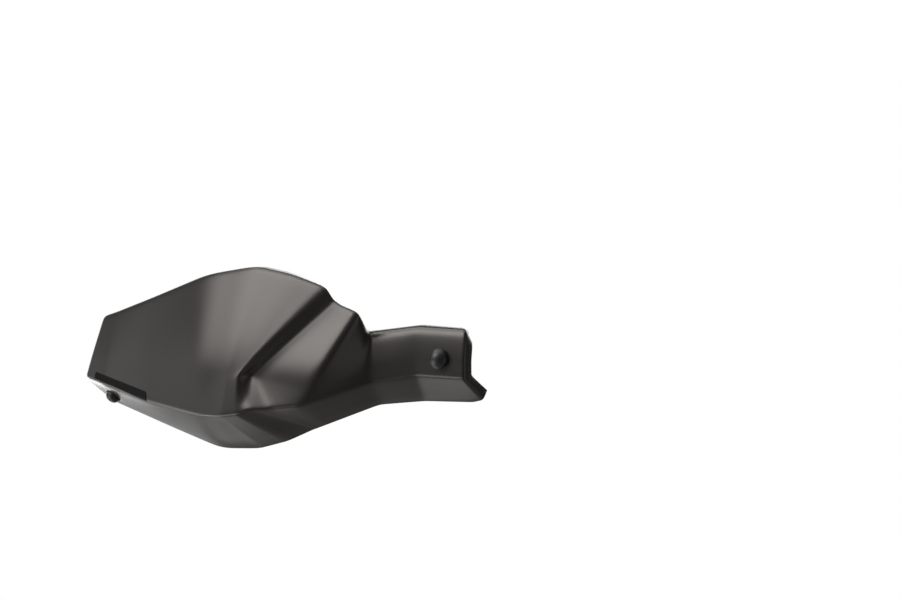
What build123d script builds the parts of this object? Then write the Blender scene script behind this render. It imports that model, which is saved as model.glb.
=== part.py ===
import os

from build123d import *

# All sizes are in mm. +X runs along the handlebar towards the middle of the motorcycle,
# -Y is forward and +Z is up. The origin is the handlebar's axis, midway along the clamp.

# Moulded shell
wall = 3.0
seat_depth = 0.3
seat_margin = 1.0
lip_depth = 9.0
end_lip = 8.0
top_radius = 5.0
arm_roll = 8.0
arm_cut = 0.3
crease_radius = 4.0
knee_share = 0.17
face_share = 0.3

# Name strip, left bare
strip_start = -289.5
strip_end = -229.0
strip_low = 0.8
strip_high = 0.66
strip_slant = 0.055
strip_height = 0.5

# Handlebar clamp
bar_diameter = 22.2
clamp_width = 18.0
clamp_gap = 1.0
clamp_lug = 22.5
clamp_front_depth = 12.0
clamp_back = 17.0
clamp_edge = 3.0
clamp_screw_offset = 17.0
clamp_screw_diameter = 5.0
clamp_screw_length = 18.0
clamp_head_diameter = 8.5
clamp_head_height = 5.0
clamp_socket = 4.0

# Fixing on the arm, which stands inboard of the clamp
arm_screw_x = 28.0
arm_screw_diameter = 6.0
arm_screw_length = 22.0
arm_head_diameter = 10.0
arm_head_height = 2.4
arm_socket = 4.0
stand_off_width = 18.0
stand_off_foot = 5.0
sleeve_diameter = 8.0
grommet_hole = 11.0
grommet_front = 1.4
grommet_back = 4.2
washer_diameter = 13.0
washer_thickness = 1.2
cap_skirt = 1.6
cap_dome = 4.2
cap_wall = 1.0

# Bar end
bar_end = -217.0
weight_length = 38.0
weight_diameter = 30.0
weight_groove = 1.5
expander_diameter = 17.0
expander_length = 25.0
cone_length = 12.0
bolt_diameter = 8.0
bolt_head_diameter = 13.0
bolt_head_height = 8.0
bolt_socket = 6.0
bolt_washer_diameter = 17.0
bolt_washer_thickness = 1.6

# Bracket between bar end and flange
plate = 3.0
plate_end_radius = 13.0
plate_tab_radius = 11.0

# Fixing on the flange
flange_screw_x = -278.0
flange_screw_v = 0.975
flange_screw_diameter = 6.0
flange_screw_length = 16.0
flange_head_diameter = 10.5
flange_head_height = 3.3
flange_socket = 4.0
flange_washer_diameter = 12.5
flange_washer_thickness = 1.2
flange_nut_across = 10.0
flange_nut_height = 6.0

clearance = 0.2

# The cap clears the washer inside it, and the grommet's flange is as wide as the cap
cap_diameter = washer_diameter + 2 * (cap_wall + clearance)
grommet_flange = cap_diameter


def mix(a, b, share):
    return a + (b - a) * share


def near(a, b, distance):
    """The point that lies the given distance from a towards b, short of halfway."""
    return a + (b - a) * min(distance / (b - a).length, 0.45)


def spot(x, y, z):
    """A point of the shell, whose X is measured from the screw on the arm."""
    return Vector(arm_screw_x + x, y, z)


class Station:
    """One line across the shell: top edge, knee, lower crease and rim of the flange.

    The bend along the shell is soft over a distance, the face has a crown, the top lip leans
    by an angle and the top edge rolls over a distance, its corner cut by a share."""

    def __init__(self, soft, crown, lean, top, crease, rim, knee=None, roll=top_radius, cut=0):
        self.soft = soft
        self.bulge = crown
        self.roll = roll
        self.cut = cut
        self.top = spot(*top)
        self.crease = spot(*crease)
        self.rim = spot(*rim)
        self.lip = self.top + Vector(0, lip_depth, 0).rotate(Axis.Z, lean)
        if knee is None:
            self.knee = mix(self.crease, self.top, knee_share) - Vector(0, self.bulge / 2, 0)
        else:
            self.knee = spot(*knee)

    def turned_in(self, side):
        """The edge of a lip that turns in from this station, to the given side in X."""
        turned = Station(0, self.bulge, 0, (0, 0, 0), (0, 0, 1), (0, 0, 2), None, self.roll, self.cut)
        out = Vector(side, 0, 0)
        turned.top = self.top + out + Vector(0, end_lip, -end_lip)
        turned.lip = self.lip + out + Vector(0, 0, -end_lip)
        turned.knee = self.knee + out + Vector(0, end_lip, end_lip * 0.2)
        turned.crease = self.crease + out + Vector(0, end_lip, end_lip * 0.4)
        turned.rim = self.rim + out + Vector(0, end_lip * 0.45, end_lip * 0.9)
        return turned


outer_end = Station(4, 0.5, -10, (-313.5, -48.5, 31.5), (-325.5, -57, -16.3), (-316, -36, -33))
inner_end = Station(4, 0.8, 30, (23, -47, 22.7), (22, -48, -15.8), (26, -27, -32.7), None, arm_roll, arm_cut)

# Lines across the shell, from the outer end to the end of the arm. The three with a knee
# of their own lie above, on top of and at the foot of the step between shield and arm.
stations = [
    outer_end.turned_in(-1),
    outer_end,
    Station(20, 1, -12, (-259.5, -60, 46), (-253.4, -71.5, -35.2), (-253, -43, -53)),
    Station(20, 5.7, -7, (-198, -73, 63.3), (-195.4, -86, -43.8), (-199, -52, -68.5)),
    Station(20, 3.5, 0, (-150.7, -75, 69.4), (-172, -92.5, -44.4), (-160, -57, -68.3), (-168, -91.2, -18)),
    Station(4, 2.5, 33, (-87, -72, 52.2), (-152, -93, -43), (-132, -58, -62.3), (-152, -92, -14)),
    Station(4, 0.5, 35, (-77.5, -66, 38.3), (-134, -91, -38.5), (-110, -55, -53.5), (-142, -85, -17)),
    Station(7, 1, 50, (-60.5, -66, 34.4), (-100.2, -88, -36.8), (-102.5, -52, -50.5)),
    Station(7, 0.8, 30, (-63.5, -50, 20.2), (-59, -54, -18.8), (-65, -34, -34.9), None, arm_roll, arm_cut),
    Station(6, 0.8, 0, (-21.7, -47, 25.2), (-21, -48, -13.5), (-27, -29, -32), None, arm_roll, arm_cut),
    inner_end,
    inner_end.turned_in(1),
]


def control_row(station):
    """Control points across the shell, from the top lip's edge to the flange's rim."""
    top, knee, crease, rim = station.top, station.knee, station.crease, station.rim
    middle = mix(knee, top, face_share) - Vector(0, station.bulge, 0)
    back = near(top, station.lip, station.roll)
    front = near(top, middle, station.roll)
    corner = top + (back + front - top * 2) * station.cut
    return [
        station.lip,
        back,
        corner,
        front,
        middle,
        near(knee, middle, crease_radius),
        knee,
        near(crease, knee, crease_radius),
        crease,
        near(crease, rim, crease_radius),
        rim,
    ]


def control_net():
    """Control rows along the shell, with a row on each side of a station to set its bend."""
    base = [control_row(station) for station in stations]
    rows = [base[0]]
    for index in range(1, len(base) - 1):
        soft = stations[index].soft
        rows.append([near(p, q, soft) for p, q in zip(base[index], base[index - 1])])
        rows.append(base[index])
        rows.append([near(p, q, soft) for p, q in zip(base[index], base[index + 1])])
    rows.append(base[-1])
    return rows


def knot_row(count):
    """Knots of a cubic spline that starts and ends on its first and last control points."""
    spans = count - 3
    return [0] * 3 + list(range(spans + 1)) + [spans] * 3


def weights(count, share):
    """Cubic spline weights of the control points that matter at a share of the way along."""
    spans = count - 3
    x = min(max(share, 0), 1) * spans
    first = min(int(x), spans - 1)
    knots = knot_row(count)
    found = [1.0]
    for degree in range(1, 4):
        raised = [0.0] * (degree + 1)
        for step in range(degree):
            low = knots[first + 4 + step - degree]
            high = knots[first + 4 + step]
            part = (x - low) / (high - low)
            raised[step] += found[step] * (1 - part)
            raised[step + 1] += found[step] * part
        found = raised
    return [(first + step, weight) for step, weight in enumerate(found)]


def spread(count):
    """Shares along a spline at which its control points pull hardest."""
    knots = knot_row(count)
    return [sum(knots[index + 1:index + 4]) / 3 / (count - 3) for index in range(count)]


net = control_net()
along_net = spread(len(net))
across_net = spread(len(net[0]))


def on_net(rows, u, v):
    """A point on the spline surface of a control net, at a share along it and across it."""
    point = Vector(0, 0, 0)
    for row, row_weight in weights(len(rows), u):
        for column, column_weight in weights(len(rows[0]), v):
            point += rows[row][column] * (row_weight * column_weight)
    return point


def skin(u, v):
    """A point on the outer skin, u along the shell and v across it, both 0 to 1."""
    return on_net(net, u, v)


def inward(u, v):
    """Direction from the outer skin to the inner skin."""
    step = 0.0005
    along = skin(min(u + step, 1), v) - skin(max(u - step, 0), v)
    across = skin(u, min(v + step, 1)) - skin(u, max(v - step, 0))
    return along.cross(across).normalized()


def share_at(x, v):
    """Share along the shell at which the line at v reaches a given X."""
    low, high = 0.06, 0.94
    for _ in range(30):
        middle = (low + high) / 2
        if skin(middle, v).X < x:
            low = middle
        else:
            high = middle
    return (low + high) / 2


def face_point(x, z):
    """Point on the shell's face at a given X and Z."""
    low, high = 0.3, 0.7
    for _ in range(20):
        v = (low + high) / 2
        if skin(share_at(x, v), v).Z > z:
            low = v
        else:
            high = v
    return skin(share_at(x, v), v)


def woven(grid, along, across):
    """Face through a grid of points, woven from curves across and along the shell."""
    steps_across = [(v - across[0]) / (across[-1] - across[0]) for v in across]
    steps_along = [(u - along[0]) / (along[-1] - along[0]) for u in along]
    ribs = [Edge.make_spline(row, parameters=steps_across) for row in grid]
    lines = [Edge.make_spline(list(column), parameters=steps_along) for column in zip(*grid)]
    return Face.make_gordon_surface(ribs, lines, 0.01)


def slab(outer, inner):
    """Solid between two faces that lie one below the other."""
    sides = []
    for edge in outer.edges():
        opposite = inner.edges().sort_by_distance(edge @ 0.5)[0]
        sides.append(Face.make_surface_from_curves(edge, opposite))
    return Solid(Shell([outer, inner] + sides))


def rod(plane, diameter, start, end):
    """Round bar along a plane's normal, between two distances from the plane."""
    bottom = plane.offset(min(start, end))
    return extrude(bottom * Circle(diameter / 2), abs(end - start))


def tube(plane, outside, inside, start, end):
    return rod(plane, outside, start, end) - rod(plane, inside, start, end)


def turned(plane, *outline):
    """Solid turned about a plane's normal from (radius, distance) corners."""
    profile = make_face(Polyline(*[(radius, 0, height) for radius, height in outline], close=True))
    return plane.location * revolve(profile, Axis.Z)


def button_screw(plane, diameter, length, head, head_height, socket):
    """Button-head screw: the head stands on the plane and the shank runs down from it."""
    flat = head * 0.3
    dome = turned(
        plane,
        (0, 0),
        (head / 2, 0),
        (head / 2, head_height * 0.25),
        (head * 0.43, head_height * 0.65),
        (flat, head_height),
        (0, head_height),
    )
    hexagon = RegularPolygon(socket / 2, 6, major_radius=False)
    recess = extrude(plane.offset(head_height * 0.4) * hexagon, head_height)
    return dome - recess + rod(plane, diameter, -length, 0)


def cap_screw(plane, diameter, length, head, head_height, socket):
    """Socket-head screw: the head stands on the plane and the shank runs down from it."""
    edge = head * 0.05
    body = turned(
        plane,
        (0, 0),
        (head / 2, 0),
        (head / 2, head_height - edge),
        (head / 2 - edge, head_height),
        (0, head_height),
    )
    hexagon = RegularPolygon(socket / 2, 6, major_radius=False)
    recess = extrude(plane.offset(head_height * 0.45) * hexagon, head_height)
    return body - recess + rod(plane, diameter, -length, 0)


# Shell, with flat seats for its two fixings. The inner skin's control points lie one wall
# below the outer skin.
inner_net = []
for u, row in zip(along_net, net):
    inner_net.append([point + inward(u, v) * wall for v, point in zip(across_net, row)])

outer_skin = woven([[skin(u, v) for v in across_net] for u in along_net], along_net, across_net)
inner_points = [[on_net(inner_net, u, v) for v in across_net] for u in along_net]
inner_skin = woven(inner_points, along_net, across_net)
guard_shell = slab(outer_skin, inner_skin)

arm_y = face_point(arm_screw_x, 0).Y + seat_depth
arm_front = Plane((arm_screw_x, arm_y, 0), x_dir=(1, 0, 0), z_dir=(0, -1, 0))
seat_wall = wall - 2 * seat_depth

pad_u = share_at(flange_screw_x, flange_screw_v)
pad_in = inward(pad_u, flange_screw_v)
pad_point = skin(pad_u, flange_screw_v) + pad_in * seat_depth
pad = Plane(pad_point, x_dir=(-1, 0, 0), z_dir=pad_in * -1)

guard_shell -= rod(arm_front, grommet_flange + seat_margin, 0, 5)
guard_shell -= rod(arm_front, grommet_flange + seat_margin, -seat_wall, -seat_wall - 5)
guard_shell -= rod(arm_front, grommet_hole, -10, 5)
guard_shell -= rod(pad, flange_washer_diameter + seat_margin, 0, 5)
guard_shell -= rod(pad, flange_screw_diameter + 2 * clearance, -10, 5)

# Bare name strip on the face, just above the lower crease
strip_along = [share_at(mix(strip_start, strip_end, index / 8), strip_low) for index in range(9)]
strip_across = [mix(strip_high, strip_low, index / 4) for index in range(5)]
strip_front = []
strip_back = []
for index, u in enumerate(strip_along):
    lowered = [v + strip_slant * index / 8 for v in strip_across]
    strip_front.append([skin(u, v) - inward(u, v) * strip_height for v in lowered])
    strip_back.append([skin(u, v) + inward(u, v) * wall / 2 for v in lowered])
strip_faces = [woven(points, strip_along, strip_across) for points in (strip_front, strip_back)]
name_strip = slab(*strip_faces) - guard_shell
name_strip = name_strip.solids().sort_by_distance(skin(strip_along[4], strip_low))[0]

# Fixing on the arm: grommet and sleeve in the shell, washer, screw and snap-on cap
sleeve_front = grommet_front
stand_off_face = -seat_wall - grommet_back
washer_front = sleeve_front + washer_thickness

arm_grommet = rod(arm_front, grommet_flange, 0, grommet_front)
arm_grommet += rod(arm_front, grommet_hole, -seat_wall, 0)
arm_grommet += rod(arm_front, grommet_flange, stand_off_face, -seat_wall)
arm_grommet -= rod(arm_front, sleeve_diameter, stand_off_face, grommet_front)

arm_hole = arm_screw_diameter + 2 * clearance
arm_sleeve = tube(arm_front, sleeve_diameter, arm_hole, stand_off_face, sleeve_front)
arm_washer = tube(arm_front, washer_diameter, arm_hole, sleeve_front, washer_front)
arm_screw = button_screw(
    arm_front.offset(washer_front),
    arm_screw_diameter,
    arm_screw_length,
    arm_head_diameter,
    arm_head_height,
    arm_socket,
)

dome_radius = ((cap_diameter / 2) ** 2 + cap_dome ** 2) / (2 * cap_dome)
dome_centre = arm_front.offset(sleeve_front + cap_skirt + cap_dome - dome_radius)
skirt = rod(arm_front, cap_diameter, sleeve_front, sleeve_front + cap_skirt)
cap_top = sleeve_front + cap_skirt + cap_dome
above = rod(arm_front, cap_diameter, sleeve_front + cap_skirt, cap_top)
hollow = rod(arm_front, cap_diameter - 2 * cap_wall, sleeve_front, cap_top)
ball = dome_centre.location * Sphere(dome_radius)
core = dome_centre.location * Sphere(dome_radius - cap_wall)
low_core = rod(arm_front, cap_diameter - 2 * cap_wall, sleeve_front, sleeve_front + cap_skirt)
arm_screw_cap = (skirt + (ball & above)) - (hollow & core) - low_core

# Handlebar clamp: the front half carries the stand-off that meets the arm
face_y = arm_y - stand_off_face
half_gap = clamp_gap / 2
half_width = clamp_width / 2
half_post = stand_off_width / 2
bore = extrude(Plane.YZ * Circle(bar_diameter / 2), clamp_width, both=True)
front_shape = Polyline(
    (-half_gap, clamp_lug),
    (-clamp_front_depth, clamp_lug),
    (-clamp_back, half_post),
    (-clamp_back, -half_post),
    (-clamp_front_depth, -clamp_lug),
    (-half_gap, -clamp_lug),
    close=True,
)
post_shape = Polyline(
    (-half_width, -clamp_front_depth),
    (-half_width, -clamp_back - clamp_edge),
    (arm_screw_x - half_post, face_y + stand_off_foot),
    (arm_screw_x - half_post, face_y),
    (arm_screw_x + half_post, face_y),
    (arm_screw_x + half_post, face_y + 2.5 * stand_off_foot),
    (half_width, -clamp_front_depth),
    close=True,
)
post = extrude(make_face(post_shape), half_post, both=True)
post = fillet(post.edges().filter_by(Axis.Z), clamp_edge)
clamp_front = extrude(Plane.YZ * make_face(front_shape), half_width, both=True) + post - bore
rear_shape = Polyline(
    (half_gap, clamp_lug),
    (clamp_back, clamp_lug),
    (clamp_back, -clamp_lug),
    (half_gap, -clamp_lug),
    close=True,
)
clamp_rear = extrude(Plane.YZ * make_face(rear_shape), half_width, both=True)
clamp_rear = fillet(clamp_rear.edges().filter_by(Axis.X).group_by(Axis.Y)[-1], clamp_edge * 2) - bore

head_seat = clamp_back - clamp_head_height - 0.5
clamp_screws = []
for side in (-1, 1):
    under_head = Plane((0, head_seat, side * clamp_screw_offset), x_dir=(1, 0, 0), z_dir=(0, 1, 0))
    clamp_screw = cap_screw(
        under_head,
        clamp_screw_diameter,
        clamp_screw_length,
        clamp_head_diameter,
        clamp_head_height,
        clamp_socket,
    )
    clamp_screws.append(clamp_screw)
    clamp_rear -= rod(under_head, clamp_screw_diameter + 2 * clearance, -clamp_back, 1)
    clamp_rear -= rod(under_head, clamp_head_diameter + 2 * clearance, 0, clamp_back)
    clamp_front -= rod(under_head, clamp_screw_diameter, -clamp_screw_length, 0)
clamp_front -= rod(arm_front, arm_screw_diameter, washer_front - arm_screw_length, stand_off_face)

# Bar end: weight, expander in the bar, long bolt and washer
bar_axis = Plane((bar_end, 0, 0), x_dir=(0, 1, 0), z_dir=(-1, 0, 0))
weight_radius = weight_diameter / 2
bolt_hole = bolt_diameter + 2 * clearance
bar_end_weight = turned(
    bar_axis,
    (bolt_hole / 2, 0),
    (weight_radius - 2, 0),
    (weight_radius, 2),
    (weight_radius, weight_length * 0.3),
    (weight_radius - weight_groove, weight_length * 0.3 + weight_groove),
    (weight_radius - weight_groove, weight_length * 0.4),
    (weight_radius, weight_length * 0.4 + weight_groove),
    (weight_radius, weight_length - 5),
    (weight_radius - 3, weight_length),
    (bolt_hole / 2, weight_length),
)
expander_sleeve = tube(bar_axis, expander_diameter, bolt_hole, -expander_length, 0)
cone_small = expander_diameter * 0.7
expander_cone = turned(
    bar_axis,
    (bolt_diameter / 2, -expander_length),
    (expander_diameter * 0.47, -expander_length),
    (cone_small / 2, -expander_length - cone_length),
    (bolt_diameter / 2, -expander_length - cone_length),
)
plate_front = weight_length + plate
bolt_seat = plate_front + bolt_washer_thickness
bolt_length = bolt_seat + expander_length + cone_length + 3
bar_end_washer = tube(bar_axis, bolt_washer_diameter, bolt_hole, plate_front, bolt_seat)
bar_end_bolt = cap_screw(
    bar_axis.offset(bolt_seat),
    bolt_diameter,
    bolt_length,
    bolt_head_diameter,
    bolt_head_height,
    bolt_socket,
)

# Bracket: one plate on the bar end, bent to lie on the flange
seat = pad.offset(-seat_wall)
plate_face = bar_axis.offset(weight_length)
fold = seat.to_local_coords(Vector(bar_end - weight_length, pad_point.Y, pad_point.Z))
tab_ends = Circle(plate_tab_radius) + Pos(fold.X, fold.Y) * Circle(plate_tab_radius)
tab_shape = make_hull(tab_ends.edges())
tab = extrude(seat * tab_shape, -plate)
corner = plate_face.to_local_coords(seat.from_local_coords(Vector(fold.X, fold.Y, 0)))
strap_ends = Circle(plate_end_radius) + Pos(corner.X, corner.Y) * Circle(plate_tab_radius)
strap_shape = make_hull(strap_ends.edges())
strap = extrude(plate_face * strap_shape, plate)
strap -= extrude(seat * Rectangle(300, 300), 60)
tab -= extrude(plate_face * Rectangle(300, 300), -60)
bar_end_bracket = strap + tab
bar_end_bracket -= rod(bar_axis, bolt_hole, 0, plate_front + 5)
bar_end_bracket -= rod(seat, flange_screw_diameter + 2 * clearance, -plate - 2, 2)
guard_shell -= extrude(seat * offset(tab_shape, plate + seat_margin), -plate * 3)

# Fixing on the flange: washer and screw outside, nut inside
flange_hole = flange_screw_diameter + 2 * clearance
flange_washer = tube(pad, flange_washer_diameter, flange_hole, 0, flange_washer_thickness)
flange_screw = button_screw(
    pad.offset(flange_washer_thickness),
    flange_screw_diameter,
    flange_screw_length,
    flange_head_diameter,
    flange_head_height,
    flange_socket,
)
nut_shape = RegularPolygon(flange_nut_across / 2, 6, major_radius=False)
nut_shape -= Circle(flange_screw_diameter / 2)
flange_nut = extrude(seat.offset(-plate) * nut_shape, -flange_nut_height)

nodes = {
    "guard_shell": guard_shell,
    "name_strip": name_strip,
    "arm_screw_cap": arm_screw_cap,
    "arm_screw": arm_screw,
    "arm_washer": arm_washer,
    "arm_grommet": arm_grommet,
    "arm_sleeve": arm_sleeve,
    "clamp_front": clamp_front,
    "clamp_rear": clamp_rear,
    "clamp_screws": Compound(children=clamp_screws),
    "bar_end_weight": bar_end_weight,
    "bar_end_bracket": bar_end_bracket,
    "bar_end_bolt": bar_end_bolt,
    "bar_end_washer": bar_end_washer,
    "expander_sleeve": expander_sleeve,
    "expander_cone": expander_cone,
    "flange_screw": flange_screw,
    "flange_washer": flange_washer,
    "flange_nut": flange_nut,
}
os.makedirs("parts", exist_ok=True)
for name, shape in nodes.items():
    export_step(shape, f"parts/{name}.step")
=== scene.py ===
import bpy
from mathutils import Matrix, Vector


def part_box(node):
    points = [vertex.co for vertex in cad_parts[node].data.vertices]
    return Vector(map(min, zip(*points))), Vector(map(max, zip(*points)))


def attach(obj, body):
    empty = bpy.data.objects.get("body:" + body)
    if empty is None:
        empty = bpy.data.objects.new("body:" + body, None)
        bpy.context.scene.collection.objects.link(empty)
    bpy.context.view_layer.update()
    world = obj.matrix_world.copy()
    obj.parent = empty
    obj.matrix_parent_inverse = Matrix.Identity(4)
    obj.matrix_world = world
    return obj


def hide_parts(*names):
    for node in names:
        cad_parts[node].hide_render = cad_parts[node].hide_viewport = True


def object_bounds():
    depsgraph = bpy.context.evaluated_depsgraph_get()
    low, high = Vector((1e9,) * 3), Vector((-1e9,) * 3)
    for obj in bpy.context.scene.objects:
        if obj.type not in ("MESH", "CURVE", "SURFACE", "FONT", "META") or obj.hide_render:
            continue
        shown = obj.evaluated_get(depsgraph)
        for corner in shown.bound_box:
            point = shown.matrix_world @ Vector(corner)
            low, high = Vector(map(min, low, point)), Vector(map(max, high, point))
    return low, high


bl_info = {
    "name": "Motorcycle Hand Guard",
    "version": (1, 0, 0),
    "blender": (4, 5, 0),
    "location": "3D View > Sidebar > Hand Guard",
    "description": "Dresses the hand guard with its moulded shell, trim, fixings and a plain studio",
    "category": "Object",
}

import copy
import math

import bmesh
import bpy
import numpy as np
from bpy.props import FloatProperty, FloatVectorProperty, IntProperty, PointerProperty
from mathutils import Matrix, Vector

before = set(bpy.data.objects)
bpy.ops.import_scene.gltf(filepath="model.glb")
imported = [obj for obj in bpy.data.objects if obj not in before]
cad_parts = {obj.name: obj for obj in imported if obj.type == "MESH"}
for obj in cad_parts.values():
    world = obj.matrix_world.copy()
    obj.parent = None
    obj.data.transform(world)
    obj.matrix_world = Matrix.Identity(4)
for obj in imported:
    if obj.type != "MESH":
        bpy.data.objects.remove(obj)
cad_low, cad_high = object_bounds()

MM = 0.001
CUBIC = 3


def linear(code):
    """Linear colour of an sRGB hex code."""
    channels = [int(code[i:i + 2], 16) / 255 for i in (1, 3, 5)]
    return tuple(c / 12.92 if c <= 0.04045 else ((c + 0.055) / 1.055) ** 2.4 for c in channels)


class ShellSettings(bpy.types.PropertyGroup):
    """Moulded shell: wall, bends and surface."""

    wall: FloatProperty(name="Wall", description="Thickness of the moulded wall, mm", default=3.0, min=1.0)
    lip_depth: FloatProperty(
        name="Lip Depth", description="Depth of the lip along the top edge, mm", default=9.0
    )
    end_lip: FloatProperty(
        name="End Lip", description="Reach of the lips that turn in at both ends, mm", default=8.0
    )
    top_radius: FloatProperty(
        name="Top Bend", description="Half width of the bend at the top edge, mm", default=5.0
    )
    crease_radius: FloatProperty(
        name="Crease Bend", description="Half width of the lower bends, mm", default=4.0
    )
    end_bend: FloatProperty(
        name="End Bend", description="Half width of the lower bend at the outer end, mm", default=12.0
    )
    arm_roll: FloatProperty(
        name="Arm Roll", description="Half width of the bend along the arm's top, mm", default=8.0
    )
    arm_cut: FloatProperty(
        name="Arm Cut",
        description="Share by which that bend cuts its corner",
        subtype="FACTOR",
        default=0.3,
        min=0,
        max=1,
    )
    rim_round: FloatProperty(
        name="Rim Rounding", description="Rounding of the wall's cut edge, mm", default=0.5
    )
    steps: IntProperty(
        name="Steps", description="Faces along each span of the skin", default=8, min=2, max=12
    )
    colour: FloatVectorProperty(
        name="Plastic",
        description="Colour of the moulded plastic",
        subtype="COLOR",
        default=linear("#262524"),
    )
    roughness: FloatProperty(
        name="Roughness",
        description="Roughness of the moulded skin",
        subtype="FACTOR",
        default=0.32,
        min=0,
        max=1,
    )
    grain: FloatProperty(name="Grain", description="Size of the moulded grain, mm", default=0.9, min=0.1)


class StripSettings(bpy.types.PropertyGroup):
    """Bare satin strip near the lower outer corner."""

    start: FloatProperty(name="Start", description="X of the outer end, mm", default=-289.0)
    end: FloatProperty(name="End", description="X of the inner end, mm", default=-228.5)
    high: FloatProperty(name="Upper Edge", description="Share of the way down the skin", default=0.66)
    low: FloatProperty(name="Lower Edge", description="Share of the way down the skin", default=0.8)
    slant: FloatProperty(name="Slant", description="Drift down the skin from end to end", default=0.055)
    height: FloatProperty(name="Height", description="Rise above the shell, mm", default=0.5)
    corner: FloatProperty(name="Corner Radius", description="Rounding of the corners, mm", default=1.6)
    colour: FloatVectorProperty(
        name="Film", description="Colour of the satin film", subtype="COLOR", default=linear("#060606")
    )


class FixingSettings(bpy.types.PropertyGroup):
    """Screws, clamp, bracket and bar-end pieces."""

    edge: FloatProperty(
        name="Eased Edge", description="Rounding of machined edges, mm", default=0.4, min=0.05
    )
    flange_x: FloatProperty(name="Flange Screw X", description="X of the flange screw, mm", default=-278.0)
    flange_v: FloatProperty(
        name="Flange Screw Share", description="Share of the way down the skin", default=0.975
    )
    thread_pitch: FloatProperty(
        name="Thread Pitch", description="Pitch of the visible threads, mm", default=1.0
    )
    ridges: IntProperty(name="Knurl Ridges", description="Ridges around the bolt's head", default=40, min=8)
    black_steel: FloatVectorProperty(
        name="Black Steel",
        description="Colour of blackened steel",
        subtype="COLOR",
        default=linear("#1c1c1d"),
    )
    zinc: FloatVectorProperty(
        name="Zinc", description="Colour of zinc plating", subtype="COLOR", default=linear("#b9bbbd")
    )
    anodised: FloatVectorProperty(
        name="Anodised",
        description="Colour of anodised aluminium",
        subtype="COLOR",
        default=linear("#202123"),
    )
    rubber: FloatVectorProperty(
        name="Rubber", description="Colour of the rubber", subtype="COLOR", default=linear("#1a1a1a")
    )
    cap: FloatVectorProperty(
        name="Cap", description="Colour of the screw's cap", subtype="COLOR", default=linear("#1d1c1c")
    )


class StudioSettings(bpy.types.PropertyGroup):
    """Camera, floor and lamps."""

    azimuth: FloatProperty(
        name="Azimuth", description="Camera's turn", subtype="ANGLE", default=math.radians(35)
    )
    elevation: FloatProperty(name="Elevation", description="Camera's rise", subtype="ANGLE", default=0.0)
    distance: FloatProperty(name="Distance", description="Camera's distance", default=6.0, unit="LENGTH")
    width: FloatProperty(name="View Width", description="Width of the view", default=0.675, unit="LENGTH")
    aim_side: FloatProperty(
        name="Aim Right", description="View centre right of the origin", default=0.0029, unit="LENGTH"
    )
    aim_up: FloatProperty(
        name="Aim Up", description="View centre above the origin", default=0.0435, unit="LENGTH"
    )
    floor: FloatProperty(name="Floor", description="Height of the floor", default=-2.4, unit="LENGTH")
    key: FloatProperty(name="Key", description="Front softbox", default=22.5, unit="POWER")
    fill: FloatProperty(name="Fill", description="Low front softbox", default=1.9, unit="POWER")
    overhead: FloatProperty(name="Overhead", description="Overhead softbox", default=10.5, unit="POWER")
    left: FloatProperty(name="Left", description="Panel left of the camera", default=2.5, unit="POWER")
    low: FloatProperty(name="Low", description="Low strip lamp", default=10.0, unit="POWER")
    right: FloatProperty(name="Right", description="Panel at the arm's end", default=2.3, unit="POWER")
    edge: FloatProperty(
        name="Edge", description="Softbox that lights the top edge", default=5.5, unit="POWER"
    )
    rear: FloatProperty(name="Rear", description="Softbox behind", default=46.0, unit="POWER")
    sweep: FloatProperty(name="Sweep", description="White sweep below", default=2.4, unit="POWER")
    backdrop: FloatProperty(
        name="Backdrop", description="Panel behind the outer end", default=1.7, unit="POWER"
    )
    surround: FloatProperty(name="Surround", description="Strength of the surround", default=0.068)


class Station:
    """One line across the shell: lip, top edge, knee, lower crease and rim of the flange.

    Points and sizes are in mm, with X measured from the arm's screw. soft is the half width of
    the bend along the shell at this line, crown the bulge of its face, and lean the turn of its
    lip in degrees. roll and turn are the half widths of the bends across the shell, at the top
    edge and below it, and cut is the share by which the upper one cuts its corner."""

    arm_screw_x = 28.0
    # Where the knee lies between crease and top, and the face's middle between knee and top
    knee_share = 0.17
    face_share = 0.3
    # How far an end's turned-in points rise and go back, in shares of the lip's reach
    knee_rise = 0.2
    crease_rise = 0.4
    rim_rise = 0.9
    rim_back = 0.45

    def __init__(self, shell, soft, crown, lean, top, crease, rim, knee=None, roll=None, cut=0, turn=None):
        shift = Vector((self.arm_screw_x, 0, 0))
        self.soft = soft
        self.crown = crown
        self.roll = roll or shell.top_radius
        self.cut = cut
        self.turn = turn or shell.crease_radius
        self.top = Vector(top) + shift
        self.crease = Vector(crease) + shift
        self.rim = Vector(rim) + shift
        self.lip = self.top + Matrix.Rotation(math.radians(lean), 3, "Z") @ Vector((0, shell.lip_depth, 0))
        if knee is None:
            self.knee = self.crease.lerp(self.top, self.knee_share) - Vector((0, self.crown / 2, 0))
        else:
            self.knee = Vector(knee) + shift

    def turned_in(self, shell, side):
        """Edge of the lip that turns in from this station, to the given side in X."""
        reach = shell.end_lip
        turned = copy.copy(self)
        turned.top = self.top + Vector((side, reach, -reach))
        turned.lip = self.lip + Vector((side, 0, -reach))
        turned.knee = self.knee + Vector((side, reach, reach * self.knee_rise))
        turned.crease = self.crease + Vector((side, reach, reach * self.crease_rise))
        turned.rim = self.rim + Vector((side, reach * self.rim_back, reach * self.rim_rise))
        return turned


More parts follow.
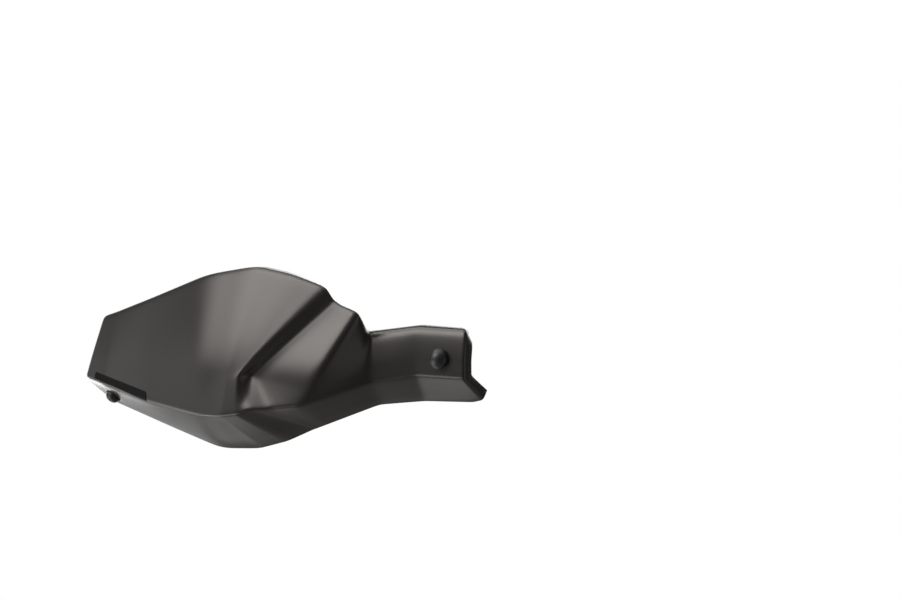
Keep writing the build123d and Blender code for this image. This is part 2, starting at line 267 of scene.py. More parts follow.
def shell_stations(shell):
    """Lines across the shell from its outer end to the end of the arm, the step in the middle."""
    end = {"turn": shell.end_bend}
    arm = {"roll": shell.arm_roll, "cut": shell.arm_cut}
    outer_end = Station(
        shell, soft=8, crown=0.5, lean=-10,
        top=(-316.5, -47, 31.5), crease=(-331.3, -50.2, -16.3), rim=(-320, -31.7, -33), **end,
    )
    shield = [
        Station(
            shell, soft=9, crown=0.6, lean=-10,
            top=(-300, -51.4, 35.1), crease=(-307.5, -60.6, -21), rim=(-300.3, -37.8, -38), **end,
        ),
        Station(
            shell, soft=20, crown=1, lean=-12,
            top=(-259.5, -60, 46), crease=(-253.4, -71.5, -35.2), rim=(-253, -43, -53), **end,
        ),
        Station(
            shell, soft=20, crown=5.7, lean=-7,
            top=(-198, -73, 63.3), crease=(-195.4, -86, -43.8), rim=(-195.8, -56.5, -68.5),
        ),
        Station(
            shell, soft=20, crown=3.5, lean=0,
            top=(-150.7, -75, 69.4), knee=(-168, -91.2, -18),
            crease=(-172, -92.5, -44.4), rim=(-157.2, -61, -68.3),
        ),
        Station(
            shell, soft=20, crown=3, lean=16,
            top=(-116, -73.9, 63), knee=(-160, -91.6, -16),
            crease=(-162, -92.8, -43.7), rim=(-143.5, -61, -65.3),
        ),
    ]
    # Brow and foot of the slanted riser, then both sides of the plane that it drops to
    step = [
        Station(
            shell, soft=10, crown=2.5, lean=33,
            top=(-87, -72, 53.4), knee=(-155, -92, -14),
            crease=(-155, -93, -43), rim=(-129.9, -61, -62.3),
        ),
        Station(
            shell, soft=6, crown=2, lean=35,
            top=(-82.6, -68, 44), knee=(-150, -84.4, -14),
            crease=(-145.5, -92, -39), rim=(-110.5, -55, -53.5),
        ),
        Station(
            shell, soft=8, crown=2.2, lean=38,
            top=(-75.6, -68, 39.9), knee=(-142, -83.5, -16),
            crease=(-129, -86.3, -38.3), rim=(-109, -54.6, -53.1),
        ),
        Station(
            shell, soft=10, crown=3.9, lean=50,
            top=(-59.1, -67.8, 34.4), crease=(-102.7, -82.9, -36.8), rim=(-102.5, -52, -50.5),
        ),
    ]
    arm_lines = [
        Station(
            shell, soft=7, crown=0.8, lean=30,
            top=(-62.5, -51.5, 20.2), crease=(-60, -52.5, -18.8), rim=(-65, -34, -34.9), **arm,
        ),
        Station(
            shell, soft=6, crown=0.8, lean=0,
            top=(-21, -48, 25.2), crease=(-21.7, -47, -13.5), rim=(-27, -29, -32), **arm,
        ),
        Station(
            shell, soft=5, crown=0.8, lean=24,
            top=(13.7, -47.8, 23.3), crease=(12, -47.2, -15.3), rim=(15.5, -27.3, -32.6), **arm,
        ),
    ]
    inner_end = Station(
        shell, soft=4, crown=0.8, lean=30,
        top=(23.5, -47.8, 22.7), crease=(21.5, -47.2, -15.8), rim=(26, -28.8, -30.8), **arm,
    )
    body = [outer_end, *shield, *step, *arm_lines, inner_end]
    return [outer_end.turned_in(shell, -1), *body, inner_end.turned_in(shell, 1)]


def near(a, b, distance, most=0.45):
    """The point that lies the given distance from a towards b, at most a share of the way."""
    return a.lerp(b, min(distance / (b - a).length, most))


def control_row(station):
    """Control points across the shell, from the top lip's edge to the flange's rim."""
    top, knee, crease, rim = station.top, station.knee, station.crease, station.rim
    middle = knee.lerp(top, station.face_share) - Vector((0, station.crown, 0))
    back = near(top, station.lip, station.roll)
    front = near(top, middle, station.roll)
    corner = top + (back + front - top * 2) * station.cut
    return [
        station.lip,
        back,
        corner,
        front,
        middle,
        near(knee, middle, station.turn),
        knee,
        near(crease, knee, station.turn),
        crease,
        near(crease, rim, station.turn),
        rim,
    ]


def spline_knots(count):
    """Number of spans and the knots of a cubic spline with the given number of control points."""
    spans = count - CUBIC
    return spans, [0] * CUBIC + list(range(spans + 1)) + [spans] * CUBIC


def spline_weights(count, shares):
    """Cubic spline weights of each control point, one row for each share of the way along."""
    spans, knots = spline_knots(count)
    table = np.zeros((len(shares), count))
    for row, share in zip(table, shares):
        x = min(max(share, 0), 1) * spans
        first = min(int(x), spans - 1)
        found = [1.0]
        for degree in range(1, CUBIC + 1):
            raised = [0.0] * (degree + 1)
            for step in range(degree):
                last = first + CUBIC + 1 + step
                low, high = knots[last - degree], knots[last]
                part = (x - low) / (high - low)
                raised[step] += found[step] * (1 - part)
                raised[step + 1] += found[step] * part
            found = raised
        row[first:first + CUBIC + 1] = found
    return table


def spline_pulls(count):
    """Shares along a cubic spline at which its control points pull hardest."""
    spans, knots = spline_knots(count)
    return [sum(knots[index + 1:index + CUBIC + 1]) / CUBIC / spans for index in range(count)]


def around(shares, step=0.0005):
    """Shares just before and just after the given ones."""
    shares = np.asarray(shares)
    return np.maximum(shares - step, 0), np.minimum(shares + step, 1)


class Skin:
    """Skins of the shell, spline surfaces over their control nets. Sizes in mm.

    The inner net lies one wall below the outer skin."""

    # Shares along the skin between which a point is looked for, clear of the turned-in ends
    first_share = 0.06
    last_share = 0.94
    halvings = 30

    def __init__(self, shell):
        stations = shell_stations(shell)
        base = [control_row(station) for station in stations]
        rows = [base[0]]
        for index in range(1, len(base) - 1):
            soft = stations[index].soft
            rows.append([near(p, q, soft) for p, q in zip(base[index], base[index - 1])])
            rows.append(base[index])
            rows.append([near(p, q, soft) for p, q in zip(base[index], base[index + 1])])
        rows.append(base[-1])
        self.net = np.array([[tuple(point) for point in row] for row in rows])
        pulls = [spline_pulls(count) for count in self.net.shape[:2]]
        self.inner_net = self.net + self.inward(*pulls) * shell.wall

    def points(self, along, across, inner=False):
        """Grid of points at shares along and across the shell, on its outer or inner skin."""
        rows = spline_weights(self.net.shape[0], along)
        columns = spline_weights(self.net.shape[1], across)
        return np.einsum("ai,bj,ijk->abk", rows, columns, self.inner_net if inner else self.net)

    def inward(self, along, across):
        """Unit directions from the outer skin to the inner one."""
        before, after = around(along)
        u = self.points(after, across) - self.points(before, across)
        before, after = around(across)
        v = self.points(along, after) - self.points(along, before)
        normal = np.cross(u, v)
        return normal / np.linalg.norm(normal, axis=2, keepdims=True)

    def share_at(self, x, v):
        """Share along the shell at which the line at v reaches a given X."""
        low, high = self.first_share, self.last_share
        for _ in range(self.halvings):
            middle = (low + high) / 2
            if self.points([middle], [v])[0, 0, 0] < x:
                low = middle
            else:
                high = middle
        return (low + high) / 2


def wall_mesh(name, outer, inner, uv):
    """Closed wall between two grids of points, with the grid's shares as its UV map."""
    a, b = outer.shape[:2]
    spots = np.concatenate([outer.reshape(-1, 3), inner.reshape(-1, 3)]) * MM
    shares = np.concatenate([uv.reshape(-1, 2)] * 2)
    index = np.arange(a * b).reshape(a, b)
    under = index + a * b
    faces = []
    for i in range(a - 1):
        for j in range(b - 1):
            quad = (index[i, j], index[i, j + 1], index[i + 1, j + 1], index[i + 1, j])
            faces.append(quad)
            faces.append(tuple(corner + a * b for corner in reversed(quad)))
    rim = [(0, j) for j in range(b)] + [(i, b - 1) for i in range(1, a)]
    rim += [(a - 1, j) for j in range(b - 2, -1, -1)] + [(i, 0) for i in range(a - 2, 0, -1)]
    for p, q in zip(rim, rim[1:] + rim[:1]):
        faces.append((index[p], under[p], under[q], index[q]))
    mesh = bpy.data.meshes.new(name)
    mesh.from_pydata(spots.tolist(), [], [tuple(int(c) for c in face) for face in faces])
    layer = mesh.uv_layers.new(name="skin")
    for loop in mesh.loops:
        layer.data[loop.index].uv = shares[loop.vertex_index]
    bm = bmesh.new()
    bm.from_mesh(mesh)
    bmesh.ops.recalc_face_normals(bm, faces=bm.faces)
    bm.to_mesh(mesh)
    bm.free()
    mesh.shade_smooth()
    return mesh


def add_piece(name, mesh, material, slot, *nodes):
    """A finished piece on the part's one body, in place of the given nodes."""
    piece = bpy.data.objects.new(name, mesh)
    bpy.context.scene.collection.objects.link(piece)
    mesh.materials.clear()
    mesh.materials.append(material)
    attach(piece, "root")
    if nodes:
        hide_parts(*nodes)


def new_holder(mesh):
    """An object that carries a mesh while its modifiers work on it."""
    holder = bpy.data.objects.new("holder", mesh)
    bpy.context.scene.collection.objects.link(holder)
    return holder


def taken_from(holder):
    """Plain mesh of a holder with its modifiers applied. The holder goes."""
    graph = bpy.context.evaluated_depsgraph_get()
    result = bpy.data.meshes.new_from_object(holder.evaluated_get(graph))
    bpy.data.objects.remove(holder)
    return result


def finished(mesh, *modifiers):
    """Smooth mesh with modifiers applied, each given as its type and its settings."""
    holder = new_holder(mesh)
    for kind, settings in modifiers:
        modifier = holder.modifiers.new(kind.title(), kind)
        for name, value in settings.items():
            setattr(modifier, name, value)
    result = taken_from(holder)
    result.shade_smooth()
    return result


def rounding(width, sharp):
    """Bevel of a width in mm on edges that turn by more than an angle in degrees."""
    settings = {"width": width * MM, "segments": 2}
    settings.update(limit_method="ANGLE", angle_limit=math.radians(sharp))
    return "BEVEL", settings


def eased(node, width, doubles=1e-6, flat=0.5, sharp=35):
    """Copy of a node's mesh with its edges rounded: flat and sharp in degrees, doubles in metres."""
    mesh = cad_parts[node].data.copy()
    bm = bmesh.new()
    bm.from_mesh(mesh)
    bmesh.ops.remove_doubles(bm, verts=bm.verts, dist=doubles)
    bmesh.ops.dissolve_limit(bm, angle_limit=math.radians(flat), verts=bm.verts, edges=bm.edges)
    bm.to_mesh(mesh)
    bm.free()
    return finished(mesh, rounding(width, sharp), ("WEIGHTED_NORMAL", {"keep_sharp": True}))


def add(tree, kind, links=None, **settings):
    """Adds a node: settings by attribute or by input name, links as input name to source socket."""
    node = tree.nodes.new(kind)
    for name, value in settings.items():
        if hasattr(node, name):
            setattr(node, name, value)
        else:
            node.inputs[name.replace("_", " ")].default_value = value
    for name, source in (links or {}).items():
        tree.links.new(source, node.inputs[name])
    return node


def new_material(name, **looks):
    """A material with its shader, set to the given looks, and its object coordinates."""
    material = bpy.data.materials.new(name)
    material.use_nodes = True
    tree = material.node_tree
    tree.nodes.clear()
    shader = add(tree, "ShaderNodeBsdfPrincipled", **looks)
    add(tree, "ShaderNodeOutputMaterial", {"Surface": shader.outputs["BSDF"]})
    place = add(tree, "ShaderNodeTexCoord").outputs["Object"]
    return material, tree, shader, place


def per_metre(size_mm):
    """Texture scale for a pattern of a given size."""
    return 1 / (size_mm * MM)


def moulded_abs(shell):
    """Black ABS moulded in a spark-eroded tool: an even fine grain, satin at grazing angles.

    The real grain is about 0.2 mm, too fine to show, so it is drawn coarser."""
    flow_size, spread = 60, 0.04
    material, tree, shader, place = new_material(
        "moulded_black_abs", IOR=1.54, Specular_Tint=(*linear("#fff7f1"), 1)
    )
    grain = add(tree, "ShaderNodeTexNoise", {"Vector": place}, Scale=per_metre(shell.grain), Detail=2.0)
    flow = add(tree, "ShaderNodeTexNoise", {"Vector": place}, Scale=per_metre(flow_size), Detail=3.0)
    tone = add(tree, "ShaderNodeMapRange", {"Value": flow.outputs["Fac"]}, To_Min=0.9, To_Max=1.1)
    tint = add(tree, "ShaderNodeVectorMath", {"Scale": tone.outputs["Result"]}, operation="SCALE")
    tint.inputs[0].default_value = shell.colour
    speck = add(
        tree,
        "ShaderNodeMapRange",
        {"Value": grain.outputs["Fac"]},
        To_Min=shell.roughness - spread,
        To_Max=shell.roughness + spread,
    )
    bump = add(tree, "ShaderNodeBump", {"Height": grain.outputs["Fac"]}, Strength=0.12, Distance=0.05 * MM)
    tree.links.new(tint.outputs["Vector"], shader.inputs["Base Color"])
    tree.links.new(speck.outputs["Result"], shader.inputs["Roughness"])
    tree.links.new(bump.outputs["Normal"], shader.inputs["Normal"])
    return material


def satin_film(strip):
    """Black vinyl film on the strip: a closed satin face with the faint ripple of a rolled sheet."""
    ripple_size = 6
    material, tree, shader, place = new_material(
        "satin_black_vinyl", Base_Color=(*strip.colour, 1), IOR=1.5, Specular_IOR_Level=0.12
    )
    ripple = add(tree, "ShaderNodeTexNoise", {"Vector": place}, Scale=per_metre(ripple_size), Detail=1.0)
    bump = add(tree, "ShaderNodeBump", {"Height": ripple.outputs["Fac"]}, Strength=0.1, Distance=0.05 * MM)
    smear = add(tree, "ShaderNodeMapRange", {"Value": ripple.outputs["Fac"]}, To_Min=0.5, To_Max=0.6)
    tree.links.new(bump.outputs["Normal"], shader.inputs["Normal"])
    tree.links.new(smear.outputs["Result"], shader.inputs["Roughness"])
    return material


def speckled(name, colour, roughness, grain, relief, metallic=0.0):
    """Surface with a fine even grain that varies its roughness and its relief. Sizes in mm."""
    spread, smoothest = 0.07, 0.03
    material, tree, shader, place = new_material(name, Base_Color=(*colour, 1), Metallic=metallic)
    if not metallic:
        shader.inputs["IOR"].default_value = 1.5
    noise = add(tree, "ShaderNodeTexNoise", {"Vector": place}, Scale=per_metre(grain), Detail=3.0)
    speck = add(
        tree,
        "ShaderNodeMapRange",
        {"Value": noise.outputs["Fac"]},
        To_Min=max(roughness - spread, smoothest),
        To_Max=roughness + spread,
    )
    bump = add(tree, "ShaderNodeBump", {"Height": noise.outputs["Fac"]}, Strength=0.3, Distance=relief * MM)
    tree.links.new(speck.outputs["Result"], shader.inputs["Roughness"])
    tree.links.new(bump.outputs["Normal"], shader.inputs["Normal"])
    return material


def finishes(fixing):
    """Materials of the fixings, made once and shared."""
    looks = {
        # Nylon cap: smooth moulding with a soft shine
        "cap_plastic": dict(
            name="moulded_black_nylon", colour=fixing.cap, roughness=0.42, grain=0.8, relief=0.01
        ),
        # Blackened steel: dark oxide with an oily satin
        "black_steel": dict(
            name="black_oxide_steel", colour=fixing.black_steel, roughness=0.42, grain=0.6, relief=0.02
        ),
        # Zinc plating: pale bright metal, slightly cloudy
        "zinc_steel": dict(
            name="zinc_plated_steel", colour=fixing.zinc, roughness=0.3, grain=1.2, relief=0.01, metallic=1.0
        ),
        # Anodised aluminium: blasted then dyed, an even fine satin
        "black_aluminium": dict(
            name="black_anodised_aluminium",
            colour=fixing.anodised,
            roughness=0.38,
            grain=0.5,
            relief=0.015,
            metallic=0.6,
        ),
        # Rubber: dull with a fine dusty grain
        "rubber": dict(name="black_rubber", colour=fixing.rubber, roughness=0.72, grain=0.7, relief=0.03),
    }
    return {slot: bpy.data.materials.get(look["name"]) or speckled(**look) for slot, look in looks.items()}


def keep_nodes(material, *names):
    """Gives carried-over nodes their finish."""
    for name in names:
        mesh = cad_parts[name].data
        mesh.materials.clear()
        mesh.materials.append(material)


def new_tree(name, sizes, counts):
    """Node tree with inputs for its sizes, counts and finish, and those inputs' sockets."""
    tree = bpy.data.node_groups.new(name, "GeometryNodeTree")
    for kind, inputs in (("NodeSocketFloat", sizes), ("NodeSocketInt", counts)):
        for label, default in inputs.items():
            socket = tree.interface.new_socket(label, in_out="INPUT", socket_type=kind)
            socket.default_value = default
    tree.interface.new_socket("Finish", in_out="INPUT", socket_type="NodeSocketMaterial")
    tree.interface.new_socket("Geometry", in_out="OUTPUT", socket_type="NodeSocketGeometry")
    return tree, add(tree, "NodeGroupInput").outputs


def end_tree(tree, geometry, finish):
    """Ends a node tree with its geometry made real and in its finish."""
    real = add(tree, "GeometryNodeRealizeInstances", {"Geometry": geometry})
    dressed = add(
        tree, "GeometryNodeSetMaterial", {"Geometry": real.outputs["Geometry"], "Material": finish}
    )
    add(tree, "NodeGroupOutput", {"Geometry": dressed.outputs["Geometry"]})
    return tree


def thread_tree():
    """Node tree for a helical thread ridge that climbs +Z from the origin, made once and shared."""
    name = "screw_thread"
    if name in bpy.data.node_groups:
        return bpy.data.node_groups[name]
    ridge_share = 0.3
    tree, given = new_tree(name, {"Radius": 0.003, "Pitch": 0.001, "Length": 0.004}, {})
    turns = add(tree, "ShaderNodeMath", {0: given["Length"], 1: given["Pitch"]}, operation="DIVIDE")
    helix = add(
        tree,
        "GeometryNodeCurveSpiral",
        {
            "Rotations": turns.outputs["Value"],
            "Start Radius": given["Radius"],
            "End Radius": given["Radius"],
            "Height": given["Length"],
        },
        Resolution=24,
    )
    size = add(tree, "ShaderNodeMath", {0: given["Pitch"]}, operation="MULTIPLY")
    size.inputs[1].default_value = ridge_share
    ridge = add(tree, "GeometryNodeCurvePrimitiveCircle", {"Radius": size.outputs["Value"]}, Resolution=4)
    swept = add(
        tree,
        "GeometryNodeCurveToMesh",
        {"Curve": helix.outputs["Curve"], "Profile Curve": ridge.outputs["Curve"]},
        Fill_Caps=True,
    )
    return end_tree(tree, swept.outputs["Mesh"], given["Finish"])


def knurl_tree():
    """Node tree for a ring of ridges that stand along +Z around a head."""
    sizes = {"Radius": 0.0065, "Height": 0.006, "Ridge": 0.0003}
    tree, given = new_tree("knurled_head", sizes, {"Count": 40})
    around_head = {"Vertices": given["Count"], "Radius": given["Radius"]}
    ring = add(tree, "GeometryNodeMeshCircle", around_head, fill_type="NONE")
    upright = {"Radius": given["Ridge"], "Depth": given["Height"]}
    ridge = add(tree, "GeometryNodeMeshCylinder", upright, Vertices=6)
    placed = add(
        tree,
        "GeometryNodeInstanceOnPoints",
        {"Points": ring.outputs["Mesh"], "Instance": ridge.outputs["Mesh"]},
    )
    return end_tree(tree, placed.outputs["Instances"], given["Finish"])


def grown(tree, place, **values):
    """Plain mesh of a node tree with the given inputs, moved to its place."""
    holder = new_holder(bpy.data.meshes.new("grown"))
    modifier = holder.modifiers.new("Grow", "NODES")
    modifier.node_group = tree
    for item in tree.interface.items_tree:
        if item.in_out == "INPUT" and item.name in values:
            modifier[item.identifier] = values[item.name]
    result = taken_from(holder)
    result.transform(place)
    return result


def along_axis(point, direction):
    """Matrix that puts +Z of a mesh along a direction from a point."""
    turn = Vector(direction).to_track_quat("Z", "Y").to_matrix().to_4x4()
    return Matrix.Translation(point) @ turn


class HANDGUARD_OT_shell(bpy.types.Operator):
    """Moulded shell: shield, step, flange and arm in one wall"""

    bl_idname = "handguard.shell"
    bl_label = "Moulded Shell"

    def execute(self, context):
        shell = context.scene.handguard_shell
        skin = Skin(shell)
        rows, columns = skin.net.shape[:2]
        along = np.linspace(0, 1, (rows - CUBIC) * shell.steps + 1)
        across = np.linspace(0, 1, (columns - CUBIC) * shell.steps + 1)
        outer = skin.points(along, across)
        inner = skin.points(along, across, inner=True)
        uv = np.stack(np.meshgrid(along, across, indexing="ij"), axis=2)
        mesh = wall_mesh("guard_shell_wall", outer, inner, uv)
        mesh = finished(mesh, rounding(shell.rim_round, sharp=60))
        add_piece("moulded_shell", mesh, moulded_abs(shell), "shell_plastic", "guard_shell")
        return {"FINISHED"}


class HANDGUARD_OT_strip(bpy.types.Operator):
    """Bare satin strip with rounded corners and a domed edge"""

    bl_idname = "handguard.strip"
    bl_label = "Bare Strip"

    def execute(self, context):
        strip = context.scene.handguard_strip
        skin = Skin(context.scene.handguard_shell)
        points_along, points_across = 121, 25
        # Depths under the shell's skin, mm
        edge_depth, back_depth = 0.2, 0.4
        length = strip.end - strip.start
        centre = (strip.high + strip.low) / 2
        inner_end = skin.share_at(strip.end, centre)
        upper, lower = skin.points([inner_end], [strip.high, strip.low])[0]
        tall = np.linalg.norm(upper - lower)
        rows = np.linspace(-1, 1, points_across)
        top, base, uv = [], [], []
        for s in np.linspace(0, 1, points_along):
            from_end = min(s, 1 - s) * length
            gap = max(strip.corner - from_end, 0)
            inset = strip.corner - math.sqrt(strip.corner ** 2 - gap ** 2)
            half = 1 - 2 * inset / tall
            line = centre + strip.slant * s
            u = skin.share_at(strip.start + s * length, line)
            v = [line + t * half * (strip.low - strip.high) / 2 for t in rows]
            points = skin.points([u], v)[0]
            inward = skin.inward([u], v)[0]
            edge = np.minimum((1 - np.abs(rows)) * half * tall / 2, from_end)
            rise = np.sqrt(1 - (1 - np.minimum(edge / strip.height, 1)) ** 2)
            lift = rise * (strip.height + edge_depth) - edge_depth
            top.append(points - inward * lift[:, None])
            base.append(points + inward * back_depth)
            uv.append([(s, t) for t in rows])
        mesh = wall_mesh("name_strip_film", np.array(top), np.array(base), np.array(uv))
        add_piece("bare_strip", mesh, satin_film(strip), "gloss_strip", "name_strip")
        return {"FINISHED"}


class HANDGUARD_OT_arm_fixing(bpy.types.Operator):
    """Domed cap, screw, washer, sleeve and grommet on the arm"""

    bl_idname = "handguard.arm_fixing"
    bl_label = "Arm Fixing"

    def execute(self, context):
        finish = finishes(context.scene.handguard_fixing)
        keep_nodes(finish["cap_plastic"], "arm_screw_cap")
        keep_nodes(finish["black_steel"], "arm_screw")
        keep_nodes(finish["zinc_steel"], "arm_washer", "arm_sleeve")
        keep_nodes(finish["rubber"], "arm_grommet")
        return {"FINISHED"}


class HANDGUARD_OT_clamp(bpy.types.Operator):
    """Clamp in two halves, with eased edges, and its screws"""

    bl_idname = "handguard.clamp"
    bl_label = "Clamp"

    def execute(self, context):
        fixing = context.scene.handguard_fixing
        finish = finishes(fixing)
        for node in ("clamp_front", "clamp_rear"):
            mesh = eased(node, fixing.edge)
            add_piece(node + "_eased", mesh, finish["black_aluminium"], "black_aluminium", node)
        keep_nodes(finish["black_steel"], "clamp_screws")
        return {"FINISHED"}


class HANDGUARD_OT_bar_end(bpy.types.Operator):
    """Bar-end weight, expander, bent bracket and the long bolt with its knurled head"""

    bl_idname = "handguard.bar_end"
    bl_label = "Bar End"

    def execute(self, context):
        fixing = context.scene.handguard_fixing
        finish = finishes(fixing)
        mesh = eased("bar_end_bracket", fixing.edge)
        add_piece("bracket_eased", mesh, finish["black_steel"], "black_steel", "bar_end_bracket")
        keep_nodes(finish["black_aluminium"], "bar_end_weight")
        keep_nodes(finish["black_steel"], "bar_end_bolt")
        keep_nodes(finish["zinc_steel"], "bar_end_washer", "expander_cone")
        keep_nodes(finish["rubber"], "expander_sleeve")

        bolt_low, bolt_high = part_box("bar_end_bolt")
        head_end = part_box("bar_end_washer")[0].x
        cone_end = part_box("expander_cone")[1].x
        bolt_radius, bare_tip = 4 * MM, 0.5 * MM
        # Each ridge is sunk into the head a little and stands along a share of its height
        ridge, ridge_sink, ridge_share = 0.35 * MM, 0.1 * MM, 0.8
        knurl = grown(
            knurl_tree(),
            along_axis(Vector(((head_end + bolt_low.x) / 2, 0, 0)), (1, 0, 0)),
            Radius=(bolt_high.y - bolt_low.y) / 2 - ridge_sink,
            Height=(head_end - bolt_low.x) * ridge_share,
            Ridge=ridge,
            Count=fixing.ridges,
            Finish=finish["black_steel"],
        )
        add_piece("bolt_knurl", knurl, finish["black_steel"], "black_steel")
        thread = grown(
            thread_tree(),
            along_axis(Vector((cone_end, 0, 0)), (1, 0, 0)),
            Radius=bolt_radius,
            Pitch=fixing.thread_pitch * MM,
            Length=bolt_high.x - cone_end - bare_tip,
            Finish=finish["black_steel"],
        )
        add_piece("bolt_thread", thread, finish["black_steel"], "black_steel")
        return {"FINISHED"}


class HANDGUARD_OT_flange_fixing(bpy.types.Operator):
    """Button-head screw, washer and nut on the lower flange"""

    bl_idname = "handguard.flange_fixing"
    bl_label = "Flange Fixing"

    def execute(self, context):
        fixing = context.scene.handguard_fixing
        finish = finishes(fixing)
        keep_nodes(finish["black_steel"], "flange_screw", "flange_washer")
        keep_nodes(finish["zinc_steel"], "flange_nut")
        # Sizes in mm, with the thread's start measured in from the shell's skin
        screw_radius, thread_start, thread_length = 3, 11.7, 3
        skin = Skin(context.scene.handguard_shell)
        share = skin.share_at(fixing.flange_x, fixing.flange_v)
        inward = Vector(skin.inward([share], [fixing.flange_v])[0, 0])
        surface = Vector(skin.points([share], [fixing.flange_v])[0, 0])
        thread = grown(
            thread_tree(),
            along_axis((surface + inward * thread_start) * MM, inward),
            Radius=screw_radius * MM,
            Pitch=fixing.thread_pitch * MM,
            Length=thread_length * MM,
            Finish=finish["black_steel"],
        )
        add_piece("flange_screw_thread", thread, finish["black_steel"], "black_steel")
        return {"FINISHED"}


def outward(azimuth, elevation):
    """Unit direction away from the object, at a turn from straight ahead and a rise in radians."""
    level = math.cos(elevation)
    return Vector((math.sin(azimuth) * level, -math.cos(azimuth) * level, math.sin(elevation)))


class HANDGUARD_OT_studio(bpy.types.Operator):
    """Pale floor, soft lamps and the camera"""

    bl_idname = "handguard.studio"
    bl_label = "Studio"

    def execute(self, context):
        scene = context.scene
        studio = scene.handguard_studio
        scene.view_settings.view_transform = "Standard"
        front = outward(studio.azimuth, studio.elevation)
        self.camera(scene, studio, front)
        self.floor(studio, -front)
        self.surround(scene, studio, -front)
        # Azimuth and elevation in degrees with the distance, then width and height in metres
        lamps = (
            ("front_softbox", (-30, 31, 1.8), (1.24, 0.9), studio.key),
            ("front_fill", (-47, 14, 1.8), (0.7, 0.32), studio.fill),
            ("overhead_softbox", (-5, 70, 1.6), (1.6, 1.2), studio.overhead),
            ("left_panel", (-68, -4, 1.8), (1.45, 1.0), studio.left),
            ("low_strip", (-56, -30, 1.8), (1.9, 0.35), studio.low),
            ("right_panel", (80, -14, 1.6), (1.2, 1.2), studio.right),
            ("edge_softbox", (-66, 55, 1.8), (0.75, 0.5), studio.edge),
            ("rear_softbox", (175, 28, 1.8), (2.4, 1.6), studio.rear),
            ("white_sweep", (-93, -50, 1.5), (0.9, 0.7), studio.sweep),
            ("white_panel", (-113, -17, 1.2), (0.3, 0.26), studio.backdrop),
        )
        for lamp in lamps:
            self.lamp(scene, *lamp)
        return {"FINISHED"}

    def camera(self, scene, studio, front):
        """Camera in front of the object, its lens worked out from the width of the view."""
        right = Vector((math.cos(studio.azimuth), math.sin(studio.azimuth), 0))
        aim = right * studio.aim_side + Vector((0, 0, studio.aim_up))
        camera = bpy.data.objects.new("camera", bpy.data.cameras.new("camera"))
        scene.collection.objects.link(camera)
        camera.location = aim + front * studio.distance
        camera.rotation_euler = (-front).to_track_quat("-Z", "Y").to_euler()
        camera.data.lens = camera.data.sensor_width * studio.distance / studio.width
        camera.data.clip_end = 50
        scene.camera = camera

    def floor(self, studio, behind):
        """White floor, clear from below. Gloss shows it white only as background, behind the object."""
        bpy.ops.mesh.primitive_plane_add(size=30, location=(0, 0, studio.floor))
        floor = bpy.context.object
        floor.name = "floor"
        material = bpy.data.materials.new("white_floor")
        material.use_nodes = True
        tree = material.node_tree
        tree.nodes.clear()
        paint = add(tree, "ShaderNodeBsdfDiffuse", Color=(*linear("#d4d4d2"), 1))
        glow = add(tree, "ShaderNodeEmission", Strength=1.0)
        place = add(tree, "ShaderNodeTexCoord").outputs["Object"]
        share = self.background(tree, place, behind, start=4.2, end=5.2, low=0.0, high=0.75)
        from_above = {"Fac": share, 1: paint.outputs["BSDF"], 2: glow.outputs["Emission"]}
        white = add(tree, "ShaderNodeMixShader", from_above)
        clear = add(tree, "ShaderNodeBsdfTransparent")
        below = add(tree, "ShaderNodeNewGeometry").outputs["Backfacing"]
        both_sides = {"Fac": below, 1: white.outputs["Shader"], 2: clear.outputs["BSDF"]}
        surface = add(tree, "ShaderNodeMixShader", both_sides)
        add(tree, "ShaderNodeOutputMaterial", {"Surface": surface.outputs["Shader"]})
        floor.data.materials.append(material)

    def surround(self, scene, studio, behind):
        """White to the camera, and to gloss where it is background; a dim room to all else."""
        world = bpy.data.worlds.new("studio_surround")
        scene.world = world
        world.use_nodes = True
        tree = world.node_tree
        tree.nodes.clear()
        place = add(tree, "ShaderNodeTexCoord").outputs["Generated"]
        strength = self.background(tree, place, behind, start=0.7, end=0.85, low=studio.surround, high=1.0)
        sky = add(tree, "ShaderNodeBackground", {"Strength": strength}, Color=(1, 1, 1, 1))
        add(tree, "ShaderNodeOutputWorld", {"Surface": sky.outputs["Background"]})

    def background(self, tree, place, behind, start, end, low, high):
        """Socket with the high value for camera rays and the low one for the rest.

        For gloss and glass it goes from low to high between start and end behind the object."""
        path = add(tree, "ShaderNodeLightPath").outputs
        reach = add(tree, "ShaderNodeVectorMath", {0: place}, operation="DOT_PRODUCT")
        reach.inputs[1].default_value = behind
        reached = {"Value": reach.outputs["Value"]}
        rear = add(tree, "ShaderNodeMapRange", reached, From_Min=start, From_Max=end)
        gloss_or_glass = {0: path["Is Glossy Ray"], 1: path["Is Transmission Ray"]}
        mirrored = add(tree, "ShaderNodeMath", gloss_or_glass, operation="MAXIMUM")
        mirrored_rear = {0: mirrored.outputs["Value"], 1: rear.outputs["Result"]}
        seen = add(tree, "ShaderNodeMath", mirrored_rear, operation="MULTIPLY")
        seen_or_camera = {0: seen.outputs["Value"], 1: path["Is Camera Ray"]}
        white = add(tree, "ShaderNodeMath", seen_or_camera, operation="MAXIMUM")
        share = add(tree, "ShaderNodeMapRange", {"Value": white.outputs["Value"]}, To_Min=low, To_Max=high)
        return share.outputs["Result"]

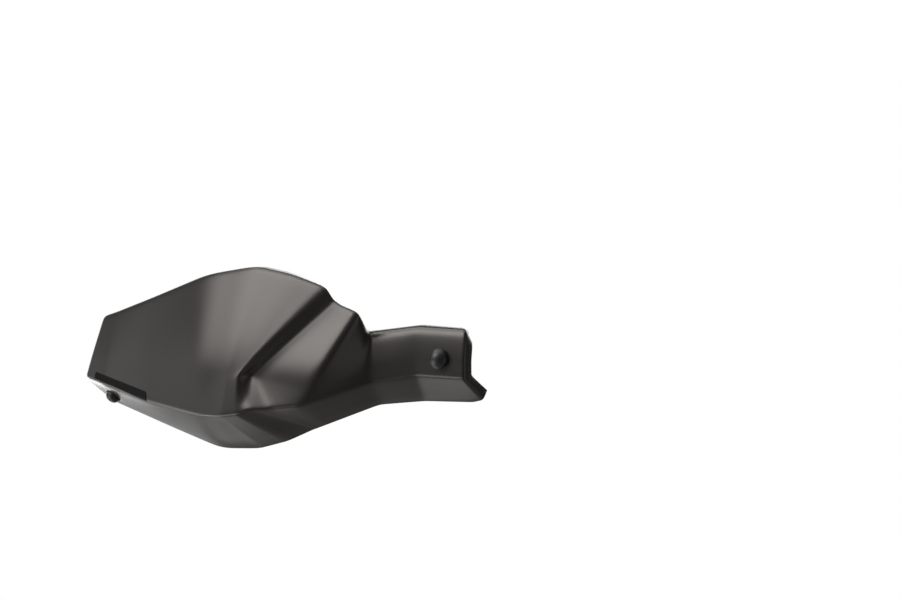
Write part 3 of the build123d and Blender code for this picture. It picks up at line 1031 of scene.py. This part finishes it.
    def lamp(self, scene, name, place, size, power):
        """Soft lamp that faces the object's middle, unseen by the camera."""
        azimuth, elevation, distance = place
        away = outward(math.radians(azimuth), math.radians(elevation))
        data = bpy.data.lights.new(name, "AREA")
        data.shape = "RECTANGLE"
        data.size, data.size_y = size
        data.energy = power
        lamp = bpy.data.objects.new(name, data)
        scene.collection.objects.link(lamp)
        lamp.location = (cad_low + cad_high) / 2 + away * distance
        lamp.rotation_euler = away.to_track_quat("Z", "Y").to_euler()
        lamp.visible_camera = False


OPERATORS = (
    HANDGUARD_OT_studio,
    HANDGUARD_OT_shell,
    HANDGUARD_OT_strip,
    HANDGUARD_OT_arm_fixing,
    HANDGUARD_OT_clamp,
    HANDGUARD_OT_bar_end,
    HANDGUARD_OT_flange_fixing,
)
SETTINGS = {
    "handguard_shell": ShellSettings,
    "handguard_strip": StripSettings,
    "handguard_fixing": FixingSettings,
    "handguard_studio": StudioSettings,
}


class HANDGUARD_PT_panel(bpy.types.Panel):
    """Sizes, colours and steps of the hand guard"""

    bl_idname = "HANDGUARD_PT_panel"
    bl_label = "Hand Guard"
    bl_space_type = "VIEW_3D"
    bl_region_type = "UI"
    bl_category = "Hand Guard"

    def draw(self, context):
        for operator in OPERATORS:
            self.layout.operator(operator.bl_idname)
        for name, group in SETTINGS.items():
            box = self.layout.box()
            for field in group.__annotations__:
                box.prop(getattr(context.scene, name), field)


def register():
    for group in SETTINGS.values():
        bpy.utils.register_class(group)
    for name, group in SETTINGS.items():
        setattr(bpy.types.Scene, name, PointerProperty(type=group))
    for operator in OPERATORS:
        bpy.utils.register_class(operator)
    bpy.utils.register_class(HANDGUARD_PT_panel)


def unregister():
    bpy.utils.unregister_class(HANDGUARD_PT_panel)
    for operator in reversed(OPERATORS):
        bpy.utils.unregister_class(operator)
    for name in SETTINGS:
        delattr(bpy.types.Scene, name)
    for group in reversed(list(SETTINGS.values())):
        bpy.utils.unregister_class(group)


def main():
    register()
    bpy.ops.handguard.studio()
    bpy.ops.handguard.shell()
    bpy.ops.handguard.strip()
    bpy.ops.handguard.arm_fixing()
    bpy.ops.handguard.clamp()
    bpy.ops.handguard.bar_end()
    bpy.ops.handguard.flange_fixing()


if __name__ == "__main__":
    main()
